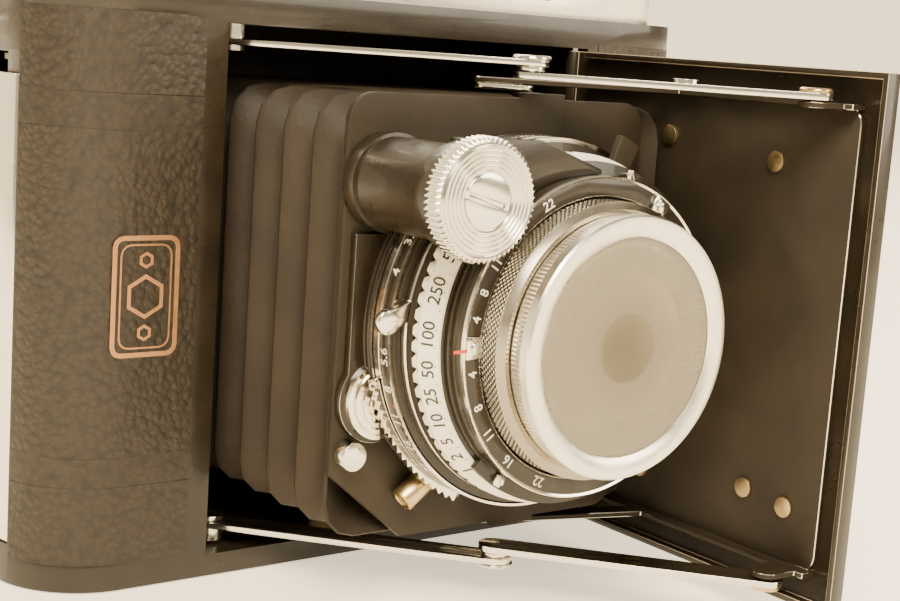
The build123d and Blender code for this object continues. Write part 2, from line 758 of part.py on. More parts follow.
# ---- shutter ----
def shutter_housing():
    back = board_back - board_thickness
    shutter = lens_ring(back, shutter_body_front, shutter_radius, shutter_bore)
    shutter += lens_ring(shutter_body_front, shutter_nose_front, shutter_nose, shutter_bore)
    shutter -= lens_ring(aperture_back, aperture_front, shutter_radius + 1, aperture_seat)
    shutter += lens_ring(back, back - 1.4, shutter_bore, rear_cell_radius)
    return shutter


def stacked_ring(back, front, outer):
    """A ring that turns on the shutter's nose."""
    return lens_ring(back, front, outer, shutter_nose + running_clearance)


def aperture_lever():
    """The aperture ring in its groove, with the toothed arc that a finger turns."""
    gap = axial_clearance
    ring = lens_ring(aperture_back - gap, aperture_front + gap, shutter_radius, aperture_seat + running_clearance)
    arc = sector(aperture_back - gap, aperture_front + gap, aperture_reach, shutter_radius - 1, 193, 246)
    arc = notched(arc, 26, 0.6, 0.42, aperture_reach, aperture_back, aperture_front, span=(194, 245))
    return ring + arc


def cocking_lever():
    back = shutter_body_front - axial_clearance
    front = back - ring_thickness
    lever = stacked_ring(back, front, speed_radius)
    x, z = at_angle(27.6, 176)
    lever += turned((x, back, z), (0, -1, 0), ring_thickness, 1.7)
    x0, z0 = at_angle(23.8, 172)
    plane = Plane(origin=(0, back, 0), x_dir=(1, 0, 0), z_dir=(0, -1, 0))
    neck = Polygon((x0, z0 + 1.6), (x, z + 1.5), (x, z - 1.5), (x0, z0 - 1.0), align=None)
    return lever + extrude(plane * neck, ring_thickness) - lens_ring(back + 1, front - 1, shutter_nose + 0.05)


def release_lever():
    back = shutter_body_front - 2 * axial_clearance - ring_thickness
    front = back - ring_thickness
    lever = stacked_ring(back, front, speed_radius)
    arm = sector(back, front, 29.0, speed_radius - 1, 62, 70)
    return lever + arm


def speed_ring():
    back = shutter_body_front - 3 * axial_clearance - 2 * ring_thickness
    front = shutter_nose_front + axial_clearance
    ring = stacked_ring(back, front, speed_radius)
    ring = chamfer(ring.edges().sort_by(Axis.Y)[:2].sort_by(SortBy.LENGTH)[-1], 1.8, 1.0)
    return notched(ring, 72, 0.4, 0.85, speed_radius, back, back - 1.4)


def face_plate():
    plate = lens_ring(shutter_nose_front, face_front, face_radius, shutter_bore)
    window = sector(shutter_nose_front + 1, face_front - 1, face_radius + 2, scale_radius + 0.2, 128, 226)
    plate -= window
    for angle in screw_angles:
        x, z = at_angle(screw_circle, angle)
        plate -= turned((x, shutter_nose_front + 1, z), (0, -1, 0), 3, 0.5)
    return plate


def face_screws():
    screws = []
    for angle in screw_angles:
        x, z = at_angle(screw_circle, angle)
        screw = turned((x, face_front, z), (0, -1, 0), 0.6, 0.85)
        screw += turned((x, shutter_nose_front, z), (0, -1, 0), shutter_nose_front - face_front, 0.5)
        screws.append(screw - Pos(x, face_front - 0.6, z) * Rot(0, 70, 0) * Box(4, 0.6, 0.4))
    return Part() + screws


def sync_post():
    """The flash contact, a brass post that stands out of the shutter's side."""
    x, z = at_angle(shutter_radius - 0.4, 238)
    post = turned((x, sync_y, z), (-0.8, 0, -0.6), 5.6, 1.8)
    post -= turned((x, sync_y, z), (-0.8, 0, -0.6), 7, 1.1)
    post += turned((x, sync_y, z), (-0.8, 0, -0.6), 5.2, 0.5) + turned((x, sync_y, z), (-0.8, 0, -0.6), 1.4, 1.8)
    return post - lens_ring(board_back, shutter_body_front, shutter_radius)


def shutter_blades():
    """Five leaves that close the shutter, side by side without touching."""
    leaves = []
    for index in range(5):
        start = 72 * index + 1.0
        leaves.append(sector(-31.2, -31.4, shutter_bore - 0.2, 0.6, start, start + 70))
    return Part() + leaves


def iris_blades():
    """The ten leaves of the aperture, set for a middle stop."""
    leaves = []
    for index in range(10):
        start = 36 * index + 1.0
        leaves.append(sector(-32.6, -32.8, shutter_bore - 0.2, 5.5, start, start + 34))
    return Part() + leaves


# ---- lens ----
def rear_cell():
    back = rear_cell_back
    cell = lens_ring(back, board_back - board_thickness - 1.4, rear_cell_radius, rear_cell_radius - 1.6)
    cell += lens_ring(back - 1.0, back - 2.2, rear_cell_radius - 1.6, 8.5)
    middle = lens_ring(-34.6, -38.0, shutter_bore, 9.0)
    return cell + middle


def lens_elements():
    """The rear and middle glasses; the middle one has a thin cell that reaches the shutter's bore."""
    rear = lens_ring(rear_cell_back, rear_cell_back - 1.0, rear_cell_radius - 1.6)
    middle = lens_ring(-35.0, -37.6, 9.0)
    return Part() + [rear, middle]


def front_lens():
    return lens_ring(-43.6, -46.2, front_element)


def depth_ring():
    ring = lens_ring(face_front, scale_front, scale_radius, focus_radius + 0.3)
    return ring + lens_ring(face_front, face_front - 0.8, scale_radius, shutter_bore)


def index_blocks():
    """Bright blocks on the depth scale that mark the focus and aperture settings."""
    marks = []
    for angle in (180, 60):
        ring = sector(scale_front, scale_front - 0.5, scale_radius - 0.2, focus_radius + 0.5, angle - 4, angle + 4)
        x, z = at_angle((scale_radius + focus_radius) / 2, angle)
        marks.append(ring + turned((x, scale_front - 0.5, z), (0, -1, 0), 0.4, 0.8))
    return Part() + marks


def focusing_ring():
    """The knurled focusing ring with the front cell and the name ring inside it."""
    back = face_front - 0.8 - axial_clearance
    ring = lens_ring(back, focus_front, focus_radius, focus_radius - 2.2)
    ring += lens_ring(-42.6, -43.6, focus_radius - 2.2, 9.0)
    ring += lens_ring(-43.6, -46.4, 14.4, front_element)
    ring += lens_ring(-46.0, -46.4, focus_radius - 2.2, front_element)
    return ring


def filter_ring():
    """The slip-on filter mount: a milled sleeve with a broad bright front rim."""
    ring = lens_ring(focus_front, filter_front, filter_radius - 0.5, filter_glass_radius + 0.2)
    ring += lens_ring(filter_front + 2.0, filter_front, filter_radius, filter_glass_radius + 0.2)
    ring += lens_ring(filter_front + 0.6, filter_front, filter_radius, filter_glass_radius - 0.6)
    ring += lens_ring(focus_front + 1.4, focus_front, filter_radius - 1.1, filter_glass_radius + 0.2)
    ring += lens_ring(filter_front + 2.6, filter_front + 2.2, filter_glass_radius + 0.3, filter_glass_radius - 0.6)
    return ring


def filter_glass():
    return lens_ring(filter_front + 2.2, filter_front + 0.6, filter_glass_radius + 0.2)


parts = {
    "body_casting": body_casting(),
    "front_leather": front_leather(),
    "top_housing": top_housing(),
    "finder_windows": finder_windows(),
    "beam_splitter": beam_splitter(),
    "accessory_shoe": accessory_shoe(),
    "strap_lugs": strap_lugs(),
    "tripod_bush": tripod_bush(),
    "film_gate": film_gate(),
    "hinge_pins": hinge_pins(),
    "strut_anchors": strut_anchors(),
    "spool_pins": spool_pins(),
    "back_cover": back_cover(),
    "back_leather": back_leather(),
    "red_window": red_window(),
    "window_slider": window_slider(),
    "pressure_plate": pressure_plate(),
    "pressure_springs": pressure_springs(),
    "back_latch": back_latch(),
    "winding_knob": winding_knob(),
    "winding_spindle": winding_spindle(),
    "take_up_spool": film_spool(-chamber_x, True),
    "supply_spool": film_spool(chamber_x, False),
    "roller_left": film_roller(-1),
    "roller_right": film_roller(1),
    "release_button": release_button(),
    "door_button": door_button(),
    "lens_door": lens_door(),
    "door_leather": door_leather_panel(),
    "door_bracket": door_bracket(),
    "bracket_rivets": bracket_rivets(),
    "rear_struts": rear_struts(),
    "knee_rivets": knee_rivets(),
    "front_struts": front_struts(),
    "swing_links": swing_links(),
    "lens_board": lens_board(),
    "standard_plate": standard_plate(),
    "knurled_nut": knurled_nut(),
    "bellows": bellows(),
    "wheel_housing": wheel_housing(),
    "focus_wheel": focus_wheel(),
    "wheel_screw": wheel_screw(),
    "shutter_housing": shutter_housing(),
    "aperture_lever": aperture_lever(),
    "cocking_lever": cocking_lever(),
    "release_lever": release_lever(),
    "speed_ring": speed_ring(),
    "face_plate": face_plate(),
    "face_screws": face_screws(),
    "sync_post": sync_post(),
    "shutter_blades": shutter_blades(),
    "iris_blades": iris_blades(),
    "rear_cell": rear_cell(),
    "lens_elements": lens_elements(),
    "front_lens": front_lens(),
    "depth_ring": depth_ring(),
    "index_blocks": index_blocks(),
    "focusing_ring": focusing_ring(),
    "filter_ring": filter_ring(),
    "filter_glass": filter_glass(),
}

to_origin = Pos(0, -tripod_y, 0)
for name, solid in parts.items():
    export_step(to_origin * solid, f"parts/{name}.step")
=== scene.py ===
"""Looks of an open folding camera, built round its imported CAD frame."""

import math

import bpy
from mathutils import Matrix, Vector


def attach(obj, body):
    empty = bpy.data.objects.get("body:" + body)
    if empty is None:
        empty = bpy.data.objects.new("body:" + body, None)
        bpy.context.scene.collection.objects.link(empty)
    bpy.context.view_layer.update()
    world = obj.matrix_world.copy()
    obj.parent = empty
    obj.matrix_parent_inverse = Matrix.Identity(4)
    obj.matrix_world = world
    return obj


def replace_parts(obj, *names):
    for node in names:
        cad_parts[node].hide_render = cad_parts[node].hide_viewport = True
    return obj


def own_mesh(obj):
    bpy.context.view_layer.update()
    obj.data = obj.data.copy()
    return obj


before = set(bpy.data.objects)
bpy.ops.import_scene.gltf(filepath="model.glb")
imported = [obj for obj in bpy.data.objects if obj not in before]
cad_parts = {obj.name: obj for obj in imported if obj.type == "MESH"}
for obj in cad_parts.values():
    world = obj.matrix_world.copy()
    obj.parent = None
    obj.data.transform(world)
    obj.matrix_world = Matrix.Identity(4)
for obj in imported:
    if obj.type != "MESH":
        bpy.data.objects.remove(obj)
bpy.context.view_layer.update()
# Places in millimetres: the lens axis, the wheel's and the boss's centres, and the bellows' two ends.
LENS_Z = 42.75
WHEEL, BOSS = (-23.3, 62.2), (-23.1, 32.35)
GATE_Y, BOARD_Y = 37.5, -24.4
BODY_FRONT = 20.0
# How many points a lathe-made ring has, where its teeth or notches are cut by counting them.
SCALE_POINTS, ARC_POINTS, WHEEL_POINTS = 288, 360, 240


def mm(x, y, z):
    """A point of the camera in millimetres, with the body's front face at y = 0, in the row's frame."""
    return Vector((x, y - BODY_FRONT, z)) / 1000


# ---- how the finishes are written ----
# A wire is a node output that takes arithmetic, so that a pattern reads as a formula.
# A finish is one material, whose colour, roughness and bump come from such formulas.
class Wire:
    def __init__(self, tree, socket):
        self.tree, self.socket = tree, socket

    def math(self, operation, *others):
        node = self.tree.nodes.new("ShaderNodeMath")
        node.operation = operation
        for slot, value in zip(node.inputs, (self, *others)):
            if isinstance(value, Wire):
                self.tree.links.new(value.socket, slot)
            else:
                slot.default_value = value
        return Wire(self.tree, node.outputs[0])

    def __add__(self, other):
        return self.math("ADD", other)

    def __sub__(self, other):
        return self.math("SUBTRACT", other)

    def __mul__(self, other):
        return self.math("MULTIPLY", other)

    def __truediv__(self, other):
        return self.math("DIVIDE", other)

    def between(self, low, high, soft=0.0001):
        """1 between two values and 0 outside them, with soft edges."""
        rise = (self - low) / soft
        fall = (self * -1.0 + high) / soft
        return rise.math("MINIMUM", fall).math("MINIMUM", 1.0).math("MAXIMUM", 0.0)


class Finish:
    def __init__(self, name):
        self.material = bpy.data.materials.new(name)
        self.material.use_nodes = True
        self.tree = self.material.node_tree
        self.shader = self.tree.nodes["Principled BSDF"]
        self.place = self.node("ShaderNodeTexCoord", "Object")
        split = self.tree.nodes.new("ShaderNodeSeparateXYZ")
        self.tree.links.new(self.place.socket, split.inputs[0])
        self.x, self.y, self.z = (Wire(self.tree, out) for out in split.outputs)

    def node(self, kind, output=0, settings=None, **inputs):
        node = self.tree.nodes.new(kind)
        for key, value in (settings or {}).items():
            setattr(node, key, value)
        for key, value in inputs.items():
            slot = node.inputs[key.replace("_", " ")]
            if isinstance(value, Wire):
                self.tree.links.new(value.socket, slot)
            else:
                slot.default_value = value
        return Wire(self.tree, node.outputs[output])

    def noise(self, scale, detail=4.0, stretch=(1, 1, 1)):
        turned = self.node("ShaderNodeMapping", Vector=self.place, Scale=stretch)
        return self.node("ShaderNodeTexNoise", "Fac", Vector=turned, Scale=scale, Detail=detail)

    def cells(self, scale):
        return self.node("ShaderNodeTexVoronoi", "Distance", Vector=self.place, Scale=scale)

    def angle(self, x, z):
        """The angle round an axis through a point in millimetres, along the lens."""
        return (self.z - z / 1000).math("ARCTAN2", self.x - x / 1000)

    def mix(self, share, first, second):
        node = self.tree.nodes.new("ShaderNodeMix")
        node.data_type = "RGBA"
        self.tree.links.new(share.socket, node.inputs[0])
        for slot, colour in ((node.inputs[6], first), (node.inputs[7], second)):
            if isinstance(colour, Wire):
                self.tree.links.new(colour.socket, slot)
            else:
                slot.default_value = (*colour, 1)
        return Wire(self.tree, node.outputs[2])

    def set(self, **values):
        for key, value in values.items():
            slot = self.shader.inputs[key.replace("_", " ")]
            if isinstance(value, Wire):
                self.tree.links.new(value.socket, slot)
            elif isinstance(value, tuple):
                slot.default_value = (*value, 1)
            else:
                slot.default_value = value
        return self

    def bump(self, height, depth):
        """A relief of a depth in millimetres."""
        return self.set(Normal=self.node("ShaderNodeBump", Height=height, Distance=depth / 1000, Strength=1.0))


# ---- paint, leather and cloth ----
# Black enamel, brownish where it is thin, with fine dust and an uneven shine.
# The leather is pebbled in cells of about a millimetre, with two pressed bands across each panel.
enamel = Finish("black_enamel")
dust = enamel.noise(160, 6)
enamel.set(Base_Color=enamel.mix(dust, (0.006, 0.0042, 0.0022), (0.026, 0.018, 0.0095)))
enamel.set(Roughness=enamel.noise(420, 5) * 0.2 + 0.2, Coat_Weight=0.15, Specular_IOR_Level=0.35)
enamel.bump(enamel.noise(900, 3), 0.012)

dull = Finish("dull_black")
dull.set(Base_Color=dull.mix(dull.noise(120, 6), (0.009, 0.006, 0.003), (0.030, 0.021, 0.011)))
dull.set(Roughness=dull.noise(300, 5) * 0.25 + 0.45, Specular_IOR_Level=0.25).bump(dull.noise(1400, 4), 0.02)

leather = Finish("pebbled_leather")
pebble = leather.cells(900).math("MINIMUM", leather.cells(640) + 0.08)
bands = leather.z.between(0.0663, 0.0714).math("MAXIMUM", leather.z.between(0.0154, 0.0198))
grain = (pebble * -1.0 + 1.0) * (bands * -0.55 + 1.0) - bands * 0.5
leather.set(Base_Color=leather.mix(pebble, (0.030, 0.020, 0.010), (0.007, 0.0048, 0.0024)))
leather.set(Roughness=leather.noise(240, 4) * 0.2 + 0.36, Specular_IOR_Level=0.4)
leather.bump(grain + leather.noise(2600, 3) * 0.25, 0.16)

cloth = Finish("bellows_cloth")
cloth.set(Base_Color=cloth.mix(cloth.noise(90, 8), (0.007, 0.0045, 0.0021), (0.034, 0.022, 0.011)))
cloth.set(Roughness=cloth.noise(200, 5) * 0.2 + 0.55, Specular_IOR_Level=0.3)
cloth.bump(cloth.noise(1100, 6) + cloth.noise(170, 4), 0.09)

tan = Finish("door_lining")
tan.set(Base_Color=tan.mix(tan.noise(70, 7), (0.30, 0.235, 0.15), (0.46, 0.37, 0.25)))
tan.set(Roughness=tan.noise(300, 5) * 0.2 + 0.5).bump(tan.cells(800), 0.08)


# ---- metals ----
# Chrome, steel, brass and foil. A noise, stretched for the polished chrome, makes the brushing and the tarnish.
# Knurled and milled bands take their diamonds and teeth from the angle round their own axis.
def metal(name, low, high, roughness, streak=(1, 1, 1), scale=300.0, depth=0.004):
    made = Finish(name)
    haze = made.noise(scale, 5, streak)
    made.set(Base_Color=made.mix(haze, low, high), Metallic=1.0, Roughness=haze * roughness + roughness * 0.5)
    return made.bump(haze, depth)


chrome = metal("polished_chrome", (0.62, 0.57, 0.47), (0.88, 0.83, 0.73), 0.14, (0.2, 0.2, 3))
satin = metal("satin_chrome", (0.76, 0.70, 0.58), (0.94, 0.88, 0.76), 0.34, (1, 1, 1), 900)
steel = metal("dark_steel", (0.12, 0.10, 0.07), (0.26, 0.22, 0.16), 0.4)
brass = metal("worn_brass", (0.42, 0.29, 0.12), (0.74, 0.57, 0.30), 0.3)
copper = metal("copper_foil", (0.42, 0.20, 0.085), (0.66, 0.36, 0.17), 0.45, (1, 1, 1), 700, 0.02)

knurl = metal("diamond_knurl", (0.40, 0.36, 0.28), (0.80, 0.75, 0.64), 0.26)
turn = knurl.angle(0, LENS_Z) * (150 / math.tau)
first = (turn + knurl.y * 1250.0).math("PINGPONG", 0.5)
second = (turn - knurl.y * 1250.0).math("PINGPONG", 0.5)
diamonds = first.math("MINIMUM", second) * knurl.y.between(-0.0670, -0.0634)
knurl.bump(diamonds, 0.55)
knurl.set(Base_Color=knurl.mix(diamonds * 2.0, (0.34, 0.30, 0.23), (0.86, 0.81, 0.70)))

milled = metal("milled_band", (0.74, 0.68, 0.56), (0.95, 0.90, 0.78), 0.3)
teeth = (milled.angle(0, LENS_Z) * (180 / math.tau)).math("PINGPONG", 0.5)
teeth = teeth * milled.y.between(-0.0698, -0.0680)
milled.bump(teeth, 0.45)

scored = metal("scored_chrome", (0.60, 0.55, 0.45), (0.86, 0.81, 0.71), 0.2)
ivory = Finish("scale_ivory")
ivory.set(Base_Color=ivory.mix(ivory.noise(300, 5), (0.80, 0.72, 0.55), (0.92, 0.86, 0.70)))
ivory.set(Roughness=ivory.noise(500, 3) * 0.2 + 0.4).bump(ivory.noise(1500, 3), 0.01)


# ---- glass and marks ----
# Coated glass that has gone milky with age, the red glass of the film window, and filled engraving.
def fill(name, colour):
    made = Finish(name)
    dab = made.noise(900, 3)
    shade = tuple(0.8 * part for part in colour)
    return made.set(Base_Color=made.mix(dab, shade, colour), Roughness=dab * 0.2 + 0.4)


white = fill("white_fill", (0.86, 0.82, 0.70))
black = fill("black_fill", (0.03, 0.022, 0.014))
red = fill("red_fill", (0.62, 0.05, 0.02))
glass = Finish("milky_glass")
glass.set(Base_Color=glass.mix(glass.noise(60, 4), (0.62, 0.52, 0.34), (0.74, 0.64, 0.46)))
glass.set(Roughness=glass.noise(120, 3) * 0.06 + 0.03, Transmission_Weight=0.80, IOR=1.5)
ruby = Finish("ruby_window")
ruby.set(Base_Color=ruby.mix(ruby.noise(200, 3), (0.35, 0.01, 0.01), (0.5, 0.03, 0.02)))
ruby.set(Roughness=ruby.noise(300, 2) * 0.1 + 0.1, Transmission_Weight=0.5)

# ---- the CAD parts that keep their own mesh ----
# The leather panels, the inner works, and the pins and plates that are hardly seen take a finish as they are.
for finish, slot_nodes in (
    (leather, ("front_leather", "back_leather")),
    (dull, ("film_gate", "pressure_plate", "rear_cell", "window_slider")),
    (steel, ("shutter_blades", "iris_blades", "take_up_spool", "supply_spool", "pressure_springs")),
    (chrome, ("hinge_pins", "strut_anchors", "spool_pins", "roller_left", "roller_right", "winding_spindle")),
    (glass, ("finder_windows", "lens_elements")),
    (chrome, ("beam_splitter",)),
    (ruby, ("red_window",)),
    (brass, ("tripod_bush",)),
):
    for name in slot_nodes:
        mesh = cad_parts[name].data
        mesh.materials.clear()
        mesh.materials.append(finish.material)


# ---- pressed, cast and cut metal parts ----
# Each keeps its CAD shape, with the edges rounded as pressing and polishing leave them.
# A second finish goes on the edges: bright chrome on the bracket, the standard's plate and the depth ring, a
# painted highlight along those edges, and the tan lining of the door.
def rounded(node, body, finish, width=0.2, edge=None, segments=2):
    bpy.ops.object.select_all(action="DESELECT")
    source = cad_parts[node]
    piece = bpy.data.objects.new(f"{node}_shape", source.data.copy())
    bpy.context.scene.collection.objects.link(piece)
    piece.select_set(True)
    bpy.context.view_layer.objects.active = piece
    piece.data.materials.clear()
    piece.data.materials.append(finish.material)
    if edge:
        piece.data.materials.append(edge.material)
    bpy.ops.object.mode_set(mode="EDIT")
    bpy.ops.mesh.select_all(action="SELECT")
    bpy.ops.mesh.remove_doubles(threshold=2e-6)
    bpy.ops.mesh.dissolve_limited(angle_limit=math.radians(1.0))
    bpy.ops.object.mode_set(mode="OBJECT")
    for face in piece.data.polygons:
        face.material_index = 0
    bevel = piece.modifiers.new("edge", "BEVEL")
    bevel.width = width / 1000
    bevel.segments = segments
    bevel.limit_method = "ANGLE"
    bevel.angle_limit = math.radians(40)
    # The bevel faces take the second finish: chrome as a painted highlight along the edge, or the door's tan
    # lining.
    if edge:
        bevel.material = 1
    bpy.ops.object.modifier_apply(modifier="edge")
    bpy.ops.object.shade_smooth_by_angle(angle=math.radians(38))
    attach(piece, body)
    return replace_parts(piece, node)


rounded("body_casting", "body", enamel, 0.35)
rounded("back_cover", "back", enamel, 0.3)
rounded("top_housing", "body", satin, 0.25)
rounded("accessory_shoe", "body", chrome, 0.15)
rounded("strap_lugs", "body", chrome, 0.25)
rounded("back_latch", "latch", chrome, 0.25)
rounded("winding_knob", "winder", satin, 0.12)
rounded("release_button", "release", chrome, 0.3)
rounded("door_button", "opener", chrome, 0.2)
rounded("lens_door", "door", enamel, 0.22, tan)
rounded("door_leather", "door", leather, 0.15)
# The bracket's chrome edge is a painted highlight along its outline, as are the chrome edges of the standard's
# plate and the depth ring below.
rounded("door_bracket", "door", dull, 0.1, chrome, 1)
rounded("bracket_rivets", "door", brass, 0.3, None, 3)
rounded("rear_struts", "rear_arms", chrome, 0.25, None, 3)
rounded("knee_rivets", "rear_arms", chrome, 0.3, None, 3)
rounded("front_struts", "front_arms", chrome, 0.25, None, 3)
rounded("swing_links", "links", chrome, 0.15)
rounded("lens_board", "standard", dull, 0.15)
rounded("standard_plate", "standard", enamel, 0.28, chrome)
rounded("knurled_nut", "standard", chrome, 0.12)
rounded("wheel_housing", "standard", enamel, 0.35, None, 3)
rounded("wheel_screw", "wheel", chrome, 0.15)
rounded("shutter_housing", "standard", enamel, 0.25)
rounded("cocking_lever", "cocking", chrome, 0.2)
rounded("release_lever", "trigger", dull, 0.15)
rounded("face_plate", "standard", enamel, 0.1)
rounded("face_screws", "standard", chrome, 0.1)
rounded("sync_post", "standard", brass, 0.2)
rounded("depth_ring", "standard", enamel, 0.18, chrome)
rounded("index_blocks", "standard", chrome, 0.1)


# ---- turned rings ----
# The pieces made on a lathe: a ring of points is drawn out along a profile of radius and distance.
def turned(name, body, finish, slot, profile, centre=(0.0, LENS_Z), count=160, replaces=()):
    bpy.ops.object.select_all(action="DESELECT")
    radius, place = profile[0]
    x, z = centre
    bpy.ops.mesh.primitive_circle_add(
        vertices=count, radius=radius / 1000, location=mm(x, place, z), rotation=(math.pi / 2, 0, 0)
    )
    piece = bpy.context.object
    piece.name = name
    bpy.ops.object.mode_set(mode="EDIT")
    bpy.ops.mesh.select_all(action="SELECT")
    for next_radius, next_place in profile[1:]:
        step = (next_place - place) / 1000
        bpy.ops.mesh.extrude_region_move(TRANSFORM_OT_translate={"value": (0, step, 0)})
        share = next_radius / radius
        bpy.ops.transform.resize(value=(share, 1, share), center_override=mm(x, next_place, z))
        radius, place = next_radius, next_place
    bpy.ops.mesh.select_all(action="SELECT")
    bpy.ops.mesh.remove_doubles(threshold=4e-6)
    bpy.ops.mesh.normals_make_consistent(inside=False)
    bpy.ops.object.mode_set(mode="OBJECT")
    bpy.ops.object.transform_apply(location=True, rotation=True, scale=True)
    bpy.ops.object.shade_smooth_by_angle(angle=math.radians(32))
    piece.data.materials.append(finish.material)
    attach(piece, body)
    if replaces:
        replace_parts(piece, *replaces)
    return piece


# The focusing ring: a diamond-knurled grip that ends in a plain bevel, and the black inner wall.
turned(
    "focusing_grip", "front_cell", knurl, "painted_black",
    [(17.0, -42.2), (18.7, -42.2), (18.95, -42.45), (18.95, -43.0), (19.15, -43.25), (19.15, -47.0), (18.85, -47.2),
     (18.2, -47.75), (17.0, -47.75), (17.0, -42.2)],
    count=240, replaces=("focusing_ring",),
)
turned(
    "name_ring", "front_cell", dull, "painted_black",
    [(17.0, -42.7), (16.95, -46.4), (14.4, -46.45), (14.1, -46.35), (12.6, -46.15), (12.6, -43.6), (9.1, -43.5),
     (9.1, -42.7), (17.0, -42.7)],
)
# The slip-on filter mount: fine milling behind, a plain band, and a broad bright rim round the glass.
turned(
    "filter_sleeve", "front_cell", milled, "satin_chrome",
    [(15.7, -46.5), (16.8, -46.5), (16.8, -47.85), (17.45, -47.95), (17.5, -49.6), (17.4, -49.9), (17.75, -50.05),
     (17.95, -50.3), (17.95, -51.6), (17.7, -51.95), (17.2, -52.0), (15.3, -51.75), (14.9, -51.45), (15.6, -51.4),
     (15.7, -46.5)],
    replaces=("filter_ring",),
)
# The filter's flat glass and the front lens, which bulges towards the scene.
turned(
    "filter_pane", "front_cell", glass, "glass",
    [(0.002, -49.9), (15.55, -49.9), (15.6, -50.0), (15.6, -51.2), (15.5, -51.3), (0.002, -51.3), (0.002, -49.9)],
    replaces=("filter_glass",),
)
turned(
    "front_glass", "front_cell", glass, "glass",
    [(0.002, -43.7), (12.45, -43.7), (12.5, -43.8), (12.5, -44.6), (11.0, -45.15), (9.0, -45.6), (6.5, -45.95),
     (3.5, -46.15), (0.002, -46.2), (0.002, -43.7)],
    replaces=("front_lens",),
)
# Bright bands that part the rings of the shutter, and the ridges on its black wall.
bright_bands = ((26.5, -31.3, -31.55), (26.5, -33.3, -33.6), (26.45, -29.3, -29.55))
for index, (radius, back, front) in enumerate(bright_bands):
    turned(
        f"shutter_band_{index}", "standard", chrome, "bright_steel",
        [(radius - 0.6, back), (radius, back), (radius, front), (radius - 0.6, front), (radius - 0.6, back)],
    )
for index, place in enumerate((-26.6, -27.7, -28.6)):
    turned(
        f"shutter_ridge_{index}", "standard", enamel, "painted_black",
        [(26.2, place + 0.25), (26.5, place + 0.15), (26.6, place), (26.5, place - 0.15), (26.2, place - 0.25),
         (26.2, place + 0.25)],
    )
# The ivory bevel that carries the speeds, and the bright rim of the black depth scale.
scale = turned(
    "speed_scale", "speeds", ivory, "satin_chrome",
    [(22.95, -36.4), (24.8, -36.4), (24.8, -37.5), (24.3, -37.6), (24.8, -37.7), (23.3, -40.18), (22.95, -40.18),
     (22.95, -36.4)],
    count=SCALE_POINTS, replaces=("speed_ring",),
)
notch = 0.972
for vertex in scale.data.vertices:
    from_lens = Vector((vertex.co.x, 0, vertex.co.z - LENS_Z / 1000))
    place = round(math.atan2(from_lens.z, from_lens.x) / math.tau * SCALE_POINTS)
    if from_lens.length > 0.0247 and vertex.co.y > -0.0576 and place % 4 == 0:
        vertex.co.x *= notch
        vertex.co.z = LENS_Z / 1000 + from_lens.z * notch
turned(
    "depth_rim", "standard", chrome, "bright_steel",
    [(21.9, -43.6), (22.25, -43.6), (22.35, -43.75), (22.35, -44.25), (22.2, -44.4), (21.9, -44.25), (21.9, -43.6)],
)
# The aperture ring in its groove, with the saw-toothed arc that a finger turns.
turned(
    "aperture_band", "aperture", chrome, "bright_steel",
    [(24.6, -29.8), (26.3, -29.8), (26.38, -29.9), (26.38, -30.9), (26.3, -31.0), (24.6, -31.0), (24.6, -29.8)],
    replaces=("aperture_lever",),
)
arc = turned(
    "aperture_arc", "aperture", chrome, "bright_steel",
    [(26.0, -29.9), (28.1, -29.9), (28.2, -30.0), (28.2, -30.9), (28.1, -31.0), (26.0, -31.0), (26.0, -29.9)],
    count=ARC_POINTS,
)
for vertex in arc.data.vertices:
    outward = Vector((vertex.co.x, 0, vertex.co.z - LENS_Z / 1000))
    place = round(math.atan2(outward.z, outward.x) / math.tau * ARC_POINTS)
    if outward.length > 0.0275:
        share = 0.967 + 0.011 * (place % 3)
        vertex.co.x = outward.x * share
        vertex.co.z = LENS_Z / 1000 + outward.z * share
bpy.ops.object.select_all(action="DESELECT")
arc.select_set(True)
bpy.context.view_layer.objects.active = arc
bpy.ops.object.mode_set(mode="EDIT")
for angle, side in ((194, 1), (246, -1)):
    a = math.radians(angle)
    bpy.ops.mesh.select_all(action="SELECT")
    normal = (-math.sin(a) * side, 0, math.cos(a) * side)
    bpy.ops.mesh.bisect(plane_co=mm(0, -30, LENS_Z), plane_no=normal, use_fill=True, clear_inner=True)
bpy.ops.object.mode_set(mode="OBJECT")

# The toothed wheel: sixty vee teeth round a thick rim.
rim = turned(
    "toothed_wheel", "wheel", chrome, "bright_steel",
    [(3.0, -45.35), (7.5, -45.35), (8.0, -45.6), (8.0, -47.8), (7.6, -48.15), (3.0, -48.15), (3.0, -45.35)],
    WHEEL, WHEEL_POINTS, replaces=("focus_wheel",),
)
for vertex in rim.data.vertices:
    outward = vertex.co - mm(WHEEL[0], 0, WHEEL[1])
    outward.y = 0
    place = round(math.atan2(outward.z, outward.x) / math.tau * WHEEL_POINTS)
    if outward.length > 0.0074:
        share = (0.915, 0.96, 1.0, 0.96)[place % 4]
        vertex.co.x += outward.x * (share - 1)
        vertex.co.z += outward.z * (share - 1)
# The wheel's scored face: five rings cut round its screw.
face = [(3.75, -48.0), (3.75, -48.3)]
for ring in range(5):
    inner = 3.95 + 0.62 * ring
    face += [(inner, -48.45), (inner + 0.36, -48.45), (inner + 0.48, -48.28)]
face += [(7.1, -48.42), (7.25, -48.2), (7.25, -48.0), (3.75, -48.0)]
turned("wheel_face", "wheel", scored, "bright_steel", face, WHEEL, 128)
# The stepped boss of the front plate, below the wheel.
turned(
    "boss_steps", "standard", chrome, "satin_chrome",
    [(0.002, -27.0), (5.6, -27.0), (5.5, -28.2), (4.7, -28.25), (4.6, -28.7), (3.7, -28.75), (3.6, -29.1),
     (2.6, -29.15), (2.5, -29.4), (0.002, -29.45), (0.002, -27.0)],
    BOSS, 96,
)


